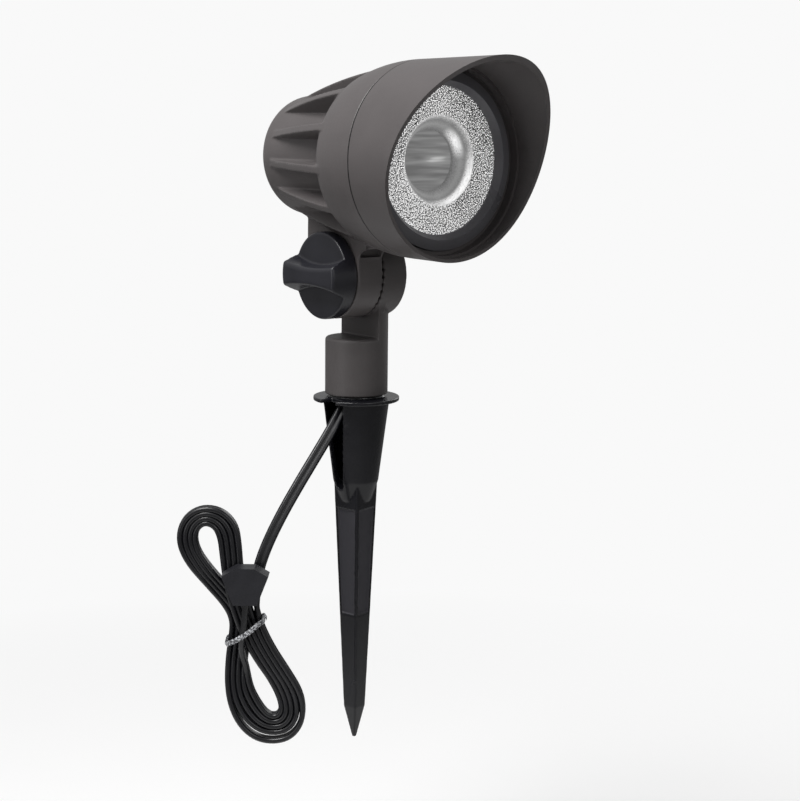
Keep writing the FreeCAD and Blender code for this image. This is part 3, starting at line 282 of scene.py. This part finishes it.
# ------------------------------------------------------------------ mesh tools
def finish_mesh(name, mesh_data, material, body, nodes=(), smooth=40.0):
    """Puts a bmesh or a mesh into the scene, on its body and in place of its CAD nodes."""
    if isinstance(mesh_data, bmesh.types.BMesh):
        mesh = bpy.data.meshes.new(name)
        bmesh.ops.recalc_face_normals(mesh_data, faces=mesh_data.faces)
        mesh_data.to_mesh(mesh)
        mesh_data.free()
    else:
        mesh = mesh_data
    mesh.materials.clear()
    mesh.materials.append(material)
    piece = bpy.data.objects.new(name, mesh)
    bpy.context.scene.collection.objects.link(piece)
    if smooth:
        for face in mesh.polygons:
            face.use_smooth = True
        mesh.set_sharp_from_angle(angle=math.radians(smooth))
    if nodes:
        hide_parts(*nodes)
    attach(piece, body)
    return piece


def apply_modifiers(piece):
    """Makes what the modifiers give the piece's own mesh."""
    graph = bpy.context.evaluated_depsgraph_get()
    mesh = bpy.data.meshes.new_from_object(piece.evaluated_get(graph))
    piece.modifiers.clear()
    piece.data = mesh
    return mesh


def recast(name, node, material, body, voxel, passes):
    """The node's own form with its edges and inner corners eased as on a casting."""
    mesh = NODES[node].data.copy()
    piece = finish_mesh(name, mesh, material, body, (node,), 0)
    remesh = piece.modifiers.new("skin", "REMESH")
    remesh.mode = "VOXEL"
    remesh.voxel_size = voxel * MM
    ease = piece.modifiers.new("ease", "SMOOTH")
    ease.factor = 0.5
    ease.iterations = passes
    mesh = apply_modifiers(piece)
    for face in mesh.polygons:
        face.use_smooth = True
    return piece


def repaint(node, material, bevel=0.0):
    """Gives a CAD node its finish, and eased edges where asked."""
    piece = NODES[node]
    piece.data.materials.clear()
    piece.data.materials.append(material)
    if bevel:
        edge = piece.modifiers.new("edges", "BEVEL")
        edge.width = bevel * MM
        edge.segments = 3
        edge.limit_method = "ANGLE"
        edge.angle_limit = math.radians(40)
        edge.harden_normals = False


# ------------------------------------------------------------------ settings
class CordSettings(bpy.types.PropertyGroup):
    width: FloatProperty(name="Width", description="Width of the flat cord", default=0.0058, unit="LENGTH")
    thick: FloatProperty(name="Thickness", description="Thickness of each core", default=0.0028, unit="LENGTH")
    turns: FloatProperty(name="Turns", description="Turns in the tied hank", default=4.46)


class FinishSettings(bpy.types.PropertyGroup):
    casting: FloatVectorProperty(
        name="Casting", description="Powder coat of the castings", subtype="COLOR",
        default=srgb(86, 82, 82),
    )
    plastic: FloatVectorProperty(
        name="Plastic", description="Plastic of the stake", subtype="COLOR",
        default=srgb(21, 21, 25),
    )
    jacket: FloatVectorProperty(
        name="Jacket", description="Cord jacket", subtype="COLOR",
        default=srgb(14, 14, 18),
    )


class StageSettings(bpy.types.PropertyGroup):
    ambient: FloatProperty(name="Ambient", description="Strength of the surrounding light", default=0.17)
    key: FloatProperty(name="Key", description="Power of the overhead lamp", default=23.0, unit="POWER")


# ------------------------------------------------------------------ pieces
class SPOT_OT_cord(bpy.types.Operator):
    """Flat two-core cord: free stretch, tied hank and last stretch into the connector"""

    bl_idname = "spot.cord"
    bl_label = "Cord"

    def execute(self, context):
        sizes = context.scene.spot_cord
        route = self.route(sizes.turns)
        line = self.smooth_line(route)
        mesh = self.jacket(line, sizes)
        jacket = moulded("cord_jacket", tuple(context.scene.spot_finish.jacket), 0.3, 0.0)
        nodes = ("cord_lead", "cord_hank", "cord_end")
        piece = finish_mesh("flat_cord", mesh, jacket, "stake", nodes, 60)
        length = sum((b - a).length for a, b in zip(line, line[1:]))
        context.scene["cord_length"] = length
        return {"FINISHED"}

    def route(self, turns):
        """Control points of the whole cord in millimetres."""
        points = [Vector((x, 0, z)) for x, z in FREE_ROUTE]
        hank = [(-2.2, -80.5, -0.4), (-2.4, -89.5, 1.6)]
        stations = len(OUTER_TURN)
        for number in range(int(turns * stations)):
            turn = number / stations
            share = min(1.0, turn / 4.3)
            outer, inner = (Vector(loop[number % stations]) for loop in (OUTER_TURN, INNER_TURN))
            spot = outer.lerp(inner, share)
            sag = max(0.0, 1 - turn) * math.exp(-(((number % stations) - 7.5) / 3) ** 2)
            hank.append((spot.x, spot.y - 2.4 * sag, spot.z))
        hank.extend(LAST_RISE)
        for along, up, front in hank:
            flat = HANK_ALONG * along + HANK_FRONT * front
            points.append(Vector((HANK_AT + flat.x, flat.y, up)))
        return points

    def smooth_line(self, route):
        curve = bpy.data.curves.new("cord_line", "CURVE")
        curve.dimensions = "3D"
        spline = curve.splines.new("NURBS")
        spline.points.add(len(route) - 1)
        for point, spot in zip(spline.points, route):
            point.co = (*(spot * MM), 1.0)
        spline.order_u = 3
        spline.use_endpoint_u = True
        spline.resolution_u = 5
        holder = bpy.data.objects.new("cord_line", curve)
        mesh = bpy.data.meshes.new_from_object(holder)
        line = [vertex.co.copy() for vertex in mesh.vertices]
        bpy.data.objects.remove(holder)
        bpy.data.curves.remove(curve)
        return line

    def jacket(self, line, sizes):
        """Two round cores joined by a web, turned on edge where the cord enters the hank."""
        made = bmesh.new()
        rings = []
        reach = (sizes.width - sizes.thick) / 2
        radius = sizes.thick / 2
        gone = 0.0
        free = 0.0
        for before, after in zip(line, line[1:]):
            if after.z < HANK_TOP:
                break
            free += (after - before).length
        for number, spot in enumerate(line):
            before = line[max(0, number - 1)]
            after = line[min(len(line) - 1, number + 1)]
            gone += (spot - before).length
            tangent = (after - before).normalized()
            front = (HANK_FRONT - tangent * HANK_FRONT.dot(tangent)).normalized()
            side = front.cross(tangent)
            turn = min(1.0, max(0.0, (gone - free) / TWIST_LENGTH))
            turn = math.radians(90) * turn * turn * (3 - 2 * turn)
            wide = side * math.cos(turn) + front * math.sin(turn)
            thin = front * math.cos(turn) - side * math.sin(turn)
            ring = []
            for lobe in (1, -1):
                for step in range(8):
                    angle = math.radians(-148 + step * 296 / 7)
                    across = lobe * (reach + radius * math.cos(angle))
                    ring.append(made.verts.new(spot + wide * across + thin * (lobe * radius * math.sin(angle))))
            rings.append(ring)
        count = len(rings[0])
        for here, there in zip(rings, rings[1:]):
            for corner in range(count):
                after = (corner + 1) % count
                made.faces.new((here[corner], here[after], there[after], there[corner]))
        made.faces.new(rings[0][::-1])
        made.faces.new(rings[-1])
        return made


class SPOT_OT_connector(bpy.types.Operator):
    """Clamp-on cable connector and the wire tie round the hank's waist"""

    bl_idname = "spot.connector"
    bl_label = "Connector and tie"

    def execute(self, context):
        case = moulded("connector_case", srgb(28, 28, 33), 0.4, 0.06)
        repaint("connector_base", case, 0.5)
        repaint("connector_cover", case, 0.7)
        repaint("connector_pins", bare_metal("contact_brass", (0.72, 0.52, 0.22), 0.25))
        self.tie()
        return {"FINISHED"}

    def tie(self):
        """A thin clear band with its wire, wound twice round the hank's waist."""
        paint = Paint("tie_film", ior=1.45, transmission_weight=0.35)
        crinkle = paint.speckle(900, 2, 0.6)
        paint.set("Base Color", paint.ramp(crinkle, ((0.42, (0.1, 0.1, 0.11)), (0.6, (0.85, 0.87, 0.9)))))
        paint.set("Roughness", paint.ramp(crinkle, ((0.3, 0.15), (0.7, 0.4))))
        paint.bump(crinkle, 0.6, 0.0004)
        made = bmesh.new()
        lean = math.radians(33.7)
        middle = Vector((-7.0, -103.5))
        half_wide, half_deep, centre_front = 10.7, 9.3, 2.9
        pitch, ripple = 0.9, 0.25
        wire_bulge = 0.35
        rows = []
        steps = 96
        for step in range(steps * 2 + 1):
            angle = 2 * math.pi * step / steps
            across = half_wide * math.copysign(abs(math.cos(angle)) ** 0.55, math.cos(angle))
            front = centre_front - half_deep * math.copysign(abs(math.sin(angle)) ** 0.6, math.sin(angle))
            drift = (step / steps - 1) * pitch + ripple * math.sin(angle * 5)
            row = []
            for rise in (-0.75, -0.3, 0.3, 0.75):
                bulge = wire_bulge if abs(rise) < 0.5 else 0.0
                reach = across * (1 + bulge / 11)
                u = middle.x + reach * math.cos(lean) - (rise + drift) * math.sin(lean)
                z = middle.y + reach * math.sin(lean) + (rise + drift) * math.cos(lean)
                out = front + bulge * (1 if front > centre_front else -1)
                flat = HANK_ALONG * u + HANK_FRONT * out
                row.append(made.verts.new(Vector((HANK_AT + flat.x, flat.y, z)) * MM))
            rows.append(row)
        for here, there in zip(rows, rows[1:]):
            for a, b, c, d in zip(here, here[1:], there[1:], there):
                made.faces.new((a, b, c, d))
        piece = finish_mesh("tie_band", made, paint.material, "stake", ("twist_tie",), 60)
        thick = piece.modifiers.new("film", "SOLIDIFY")
        thick.thickness = 0.00025


class SPOT_OT_stake(bpy.types.Operator):
    """Glossy ground stake with its funnel and square blade"""

    bl_idname = "spot.stake"
    bl_label = "Ground stake"

    def execute(self, context):
        colour = tuple(context.scene.spot_finish.plastic)
        paint = Paint("stake_plastic", specular_ior_level=0.38)
        flow = paint.speckle(60, 3, 0.6)
        height = paint.axis("Z") / MM
        x, y = (paint.axis(name) for name in "XY")
        turn = math.radians(BLADE_TURN)
        along = (x * math.cos(turn) + y * math.sin(turn)) / MM
        across = (y * math.cos(turn) - x * math.sin(turn)) / MM
        half = (height + FUNNEL_DEPTH) * BLADE_TAPER + BLADE_HALF
        inset = paint.node("ShaderNodeMath", {"operation": "MAXIMUM"}, (along.size(), across.size()))
        panel = (height < -FLUTE_START) * (height > -FLUTE_END) * (inset < half - 0.35)
        tone = paint.ramp(flow, ((0.3, shade(colour, 0.85)), (0.72, shade(colour, 1.15))))
        paint.set("Base Color", paint.mix(panel, tone, srgb(50, 49, 54)))
        paint.set("Roughness", panel * 0.3 + flow * 0.1 + 0.2)
        paint.bump(paint.speckle(1300, 2, 0.5) + flow * 0.5, 0.05, 0.0003)
        recast("spike", "ground_stake", paint.material, "stake", 0.42, 3)
        return {"FINISHED"}


class SPOT_OT_knuckle(bpy.types.Operator):
    """Socket, neck and fixed ear, with what they hold"""

    bl_idname = "spot.knuckle"
    bl_label = "Knuckle"

    def execute(self, context):
        # the darker copy of the casting's coat: painted shade under the head
        casting = bpy.data.materials["knuckle_coat_painted_shade"]
        recast("knuckle", "knuckle_base", casting, "base", 0.4, 3)
        repaint("clamp_nut", bare_metal("zinc_steel", (0.6, 0.6, 0.62), 0.3), 0.2)
        repaint("cord_grommet", moulded("seal_rubber", srgb(30, 30, 32), 0.6, 0.2))
        repaint("base_lead", bpy.data.materials["cord_jacket"])
        return {"FINISHED"}


class SPOT_OT_knob(bpy.types.Operator):
    """Locking knob with its waisted wing"""

    bl_idname = "spot.knob"
    bl_label = "Locking knob"

    def execute(self, context):
        plastic = moulded("knob_plastic", srgb(30, 30, 36), 0.32, 0.08)
        recast("lock_knob", "wing_knob", plastic, "knob", 0.38, 5)
        steel = bpy.data.materials["zinc_steel"]
        repaint("clamp_bolt", steel, 0.2)
        repaint("clamp_washer", steel, 0.2)
        return {"FINISHED"}


class SPOT_OT_housing(bpy.types.Operator):
    """Finned casting with its arm and toothed ear"""

    bl_idname = "spot.housing"
    bl_label = "Finned housing"

    def execute(self, context):
        casting = coated_casting("housing_coat", tuple(context.scene.spot_finish.casting), 0.42, SEAM_AT)
        recast("finned_housing", "rear_housing", casting, "head", 0.5, 4)
        repaint("housing_oring", bpy.data.materials["seal_rubber"])
        repaint("arm_lead", bpy.data.materials["cord_jacket"])
        return {"FINISHED"}


class SPOT_OT_hood(bpy.types.Operator):
    """Screw-on hood with its slanted rim"""

    bl_idname = "spot.hood"
    bl_label = "Hood"

    def execute(self, context):
        casting = coated_casting("hood_coat", tuple(context.scene.spot_finish.casting), 0.4, SEAM_AT)
        repaint("hood", casting, 0.45)
        return {"FINISHED"}


class SPOT_OT_front(bpy.types.Operator):
    """Pebbled lens and bevelled retaining ring"""

    bl_idname = "spot.front"
    bl_label = "Lens and ring"

    def execute(self, context):
        ring = coated_casting("ring_coat", srgb(104, 103, 107), 0.3)
        repaint("lens_retaining_ring", ring, 0.25)
        repaint("collimator_lens", self.lens_material(), 0.0)
        repaint("lens_gasket", bpy.data.materials["seal_rubber"])
        return {"FINISHED"}

    def lens_material(self):
        """Pebbled annulus whose silver-white look is painted sparkle, painted highlights and light bands on the
        well's wall, and painted streaks of light on the well's floor; the lens also glows with all this painted
        light.
        """
        paint = Paint("pebbled_lens", ior=1.49)
        x, up = paint.axis("X") / MM, paint.axis("Z") / MM - AXIS_HEIGHT
        radius = (x * x + up * up) ** 0.5
        around = paint.node("ShaderNodeMath", {"operation": "ARCTAN2"}, (up, x))
        grain = paint.speckle(1950, 1, 0.5)
        patch = paint.speckle(60, 2, 0.5)
        # painted sparkle on the pebbled annulus, with a slight painted lean towards more sparkle at the lower left
        painted_light_lean = (up * -0.9 - x * 0.5) / 2600.0
        painted_sparkle = paint.ramp(grain + (patch - 0.5) * 0.1 + painted_light_lean, ((0.49, 0.0), (0.535, 0.45), (0.57, 1.0)))
        # painted light on the well's wall, from its mouth to its floor: light bands, a bright crescent along the
        # mouth and a smaller painted highlight higher up
        climb = (radius - WELL_FLOOR) / (WELL_MOUTH - WELL_FLOOR) + (grain - 0.5) * 0.5
        band = paint.ramp(climb, ((0.0, 0.12), (0.45, 0.25), (0.75, 0.16), (1.0, 0.4)))
        painted_crescent_highlight = self.spot(radius, 19.1, 2.0) * self.spot(around, -0.75, 1.15)
        painted_upper_highlight = self.spot(radius, 15.6, 2.0) * self.spot(around, 0.55, 0.55)
        texture = paint.ramp(grain, ((0.3, 0.35), (0.55, 1.0)))
        painted_highlights = (painted_crescent_highlight * 1.3 + painted_upper_highlight * 0.9).clamped() * texture
        wall_painted_light = paint.mix(painted_highlights, band, (1.0, 1.0, 1.0))
        # painted streaks of light across the well's floor, with a painted bright patch right of the middle
        stretch = paint.node("ShaderNodeCombineXYZ", {}, (x * 0.03, up * 0.4, 0.0))
        streak = paint.speckle(1.0, 2, 0.4, stretch)
        middle = self.spot(up, 0.6, 1.7) * self.spot(x, 6.0, 12.0)
        floor = paint.ramp(streak * 0.8 + middle * 0.3, ((0.3, 0.12), (0.42, 0.17), (0.55, 0.24), (0.7, 0.6)))
        inner = paint.mix(radius > WELL_FLOOR + 0.15, floor, wall_painted_light)
        outside = ((radius + (grain - 0.5) * 3.0 - WELL_MOUTH) / 0.8).clamped()
        tone = paint.mix(outside, inner, painted_sparkle)
        paint.set("Base Color", tone)
        # the lens glows with its whole painted colour though the light is off: painted light
        paint.set("Emission Color", tone)
        paint.set("Emission Strength", 0.8)
        paint.set("Roughness", outside * 0.25 + 0.15)
        paint.bump(grain * outside, 0.4, 0.0003)
        return paint.material

    def spot(self, value, middle, half):
        """A soft hump of height one at the middle."""
        away = (value - middle) / half
        return (1.0 - away * away).clamped() ** 1.6


class SPOT_OT_insides(bpy.types.Operator):
    """Light engine and driver behind the lens"""

    bl_idname = "spot.insides"
    bl_label = "Light engine and driver"

    def execute(self, context):
        steel = bpy.data.materials["zinc_steel"]
        white = moulded("white_plastic", srgb(225, 226, 222), 0.45, 0.08)
        black = moulded("cup_plastic", srgb(45, 45, 46), 0.5, 0.1)
        repaint("mounting_plate", bare_metal("plate_aluminium", (0.75, 0.76, 0.78), 0.32))
        repaint("thermal_pad", moulded("pad_grey", srgb(150, 152, 156), 0.7, 0.2))
        repaint("led_board", white)
        repaint("led_emitter", moulded("phosphor", srgb(230, 205, 90), 0.55, 0.1))
        repaint("lens_holder", white)
        repaint("board_screws", steel)
        repaint("plate_screws", steel)
        repaint("led_leads", moulded("lead_red", srgb(150, 30, 28), 0.45, 0.05))
        repaint("driver_cup", black)
        repaint("driver_board", moulded("board_green", srgb(40, 110, 70), 0.4, 0.1))
        repaint("driver_parts", black)
        return {"FINISHED"}


class SPOT_OT_stage(bpy.types.Operator):
    """Pale floor and backdrop, soft lamps and the camera"""

    bl_idname = "spot.stage"
    bl_label = "Stage"

    def execute(self, context):
        stage = context.scene.spot_stage
        context.scene.view_settings.view_transform = "Standard"
        self.surroundings(context.scene, stage.ambient)
        self.floor()
        self.lamp("key", (-0.7, -0.1, 1.2), (0.7, 0.7), stage.key)
        self.lamp("side", (-1.3, 0.0, 0.25), (0.3, 1.2), stage.key * 0.12)
        self.lamp("front", (-0.1, -1.5, 0.6), (0.6, 0.6), stage.key * 0.1)
        self.lamp("rim", (1.0, 0.3, 0.5), (0.3, 0.9), stage.key * 0.15)
        self.camera(context.scene)
        return {"FINISHED"}

    def surroundings(self, scene, ambient):
        world = bpy.data.worlds.new("studio")
        scene.world = world
        world.use_nodes = True
        nodes, links = world.node_tree.nodes, world.node_tree.links
        nodes.clear()
        path = nodes.new("ShaderNodeLightPath")
        seen = nodes.new("ShaderNodeMath")
        seen.operation = "MAXIMUM"
        links.new(path.outputs["Is Camera Ray"], seen.inputs[0])
        glossy = nodes.new("ShaderNodeMath")
        glossy.operation = "MULTIPLY_ADD"
        links.new(path.outputs["Is Glossy Ray"], glossy.inputs[0])
        glossy.inputs[1].default_value = 0.35
        links.new(path.outputs["Is Transmission Ray"], glossy.inputs[2])
        links.new(glossy.outputs[0], seen.inputs[1])
        strength = nodes.new("ShaderNodeMapRange")
        strength.inputs["To Min"].default_value = ambient
        strength.inputs["To Max"].default_value = BACKDROP
        links.new(seen.outputs[0], strength.inputs["Value"])
        background = nodes.new("ShaderNodeBackground")
        background.inputs["Color"].default_value = (1, 1, 1, 1)
        links.new(strength.outputs[0], background.inputs["Strength"])
        output = nodes.new("ShaderNodeOutputWorld")
        links.new(background.outputs[0], output.inputs["Surface"])

    def floor(self):
        """Floor that meets the backdrop without a line, well below the held light."""
        paint = Paint("pale_floor", roughness=0.9, specular_ior_level=0.0)
        paint.set("Emission Strength", 1.0)
        x, y = (paint.axis(name) for name in "XY")
        away = (((x * x + y * y) ** 0.5 - 0.25) / 0.5).clamped()
        paint.set("Base Color", paint.mix(away, (0.8, 0.8, 0.8), (0.0, 0.0, 0.0)))
        seen = paint.node("ShaderNodeLightPath", {}, out="Is Camera Ray")
        glow = paint.mix(away, (FLOOR_GLOW,) * 3, (BACKDROP,) * 3)
        dim = paint.mix(away, (0.0, 0.0, 0.0), (0.17, 0.17, 0.17))
        paint.set("Emission Color", paint.mix(seen, dim, glow))
        mesh = bpy.data.meshes.new("floor")
        corners = [(x * FLOOR_REACH, y * FLOOR_REACH, FLOOR_LEVEL) for x, y in ((-1, -1), (1, -1), (1, 1), (-1, 1))]
        mesh.from_pydata(corners, [], [(0, 1, 2, 3)])
        mesh.materials.append(paint.material)
        floor = bpy.data.objects.new("floor", mesh)
        bpy.context.scene.collection.objects.link(floor)

    def lamp(self, name, place, size, power):
        data = bpy.data.lights.new(name, "AREA")
        data.shape = "RECTANGLE"
        data.size, data.size_y = size
        data.energy = power
        lamp = bpy.data.objects.new(name, data)
        lamp.location = place
        lamp.rotation_euler = (Vector((0, 0, 0.05)) - Vector(place)).to_track_quat("-Z", "Y").to_euler()
        bpy.context.scene.collection.objects.link(lamp)

    def camera(self, scene):
        turn, rise, roll = math.radians(-38.89), math.radians(9.93), math.radians(0.64)
        back = Vector((math.sin(turn) * math.cos(rise), -math.cos(turn) * math.cos(rise), math.sin(rise)))
        right = Vector((math.cos(turn), math.sin(turn), 0))
        up = back.cross(right)
        side = right * math.cos(roll) + up * math.sin(roll)
        top = up * math.cos(roll) - right * math.sin(roll)
        data = bpy.data.cameras.new("camera")
        data.lens = 72
        data.sensor_width = 36
        data.sensor_fit = "HORIZONTAL"
        data.clip_start = 0.01
        camera = bpy.data.objects.new("camera", data)
        camera.matrix_world = Matrix((
            (side.x, top.x, back.x, -0.45884),
            (side.y, top.y, back.y, -0.60230),
            (side.z, top.z, back.z, 0.13210),
            (0, 0, 0, 1),
        ))
        scene.collection.objects.link(camera)
        scene.camera = camera


class SPOT_PT_maker(bpy.types.Panel):
    """Lists the pieces of the spotlight"""

    bl_label = "Garden spotlight"
    bl_idname = "SPOT_PT_maker"
    bl_space_type = "VIEW_3D"
    bl_region_type = "UI"
    bl_category = "Spotlight"

    def draw(self, context):
        for group in (context.scene.spot_cord, context.scene.spot_finish, context.scene.spot_stage):
            box = self.layout.box()
            for name in group.__annotations__:
                box.prop(group, name)
        for step in STEPS:
            self.layout.operator(step.bl_idname)


SETTINGS = (
    ("spot_cord", CordSettings),
    ("spot_finish", FinishSettings),
    ("spot_stage", StageSettings),
)
STEPS = (
    SPOT_OT_stage,
    SPOT_OT_connector,
    SPOT_OT_cord,
    SPOT_OT_stake,
    SPOT_OT_knuckle,
    SPOT_OT_knob,
    SPOT_OT_housing,
    SPOT_OT_hood,
    SPOT_OT_front,
    SPOT_OT_insides,
)


def register():
    for name, group in SETTINGS:
        bpy.utils.register_class(group)
        setattr(bpy.types.Scene, name, PointerProperty(type=group))
    for step in (*STEPS, SPOT_PT_maker):
        bpy.utils.register_class(step)


def unregister():
    for step in (SPOT_PT_maker, *reversed(STEPS)):
        bpy.utils.unregister_class(step)
    for name, group in reversed(SETTINGS):
        delattr(bpy.types.Scene, name)
        bpy.utils.unregister_class(group)


def main():
    register()
    # the knuckle's coat: the casting colour at 0.8, painted shade for the knuckle lying under the head
    coated_casting("knuckle_coat_painted_shade", shade(tuple(bpy.context.scene.spot_finish.casting), 0.8))
    for step in STEPS:
        family, name = step.bl_idname.split(".")
        getattr(getattr(bpy.ops, family), name)()


if __name__ == "__main__":
    main()
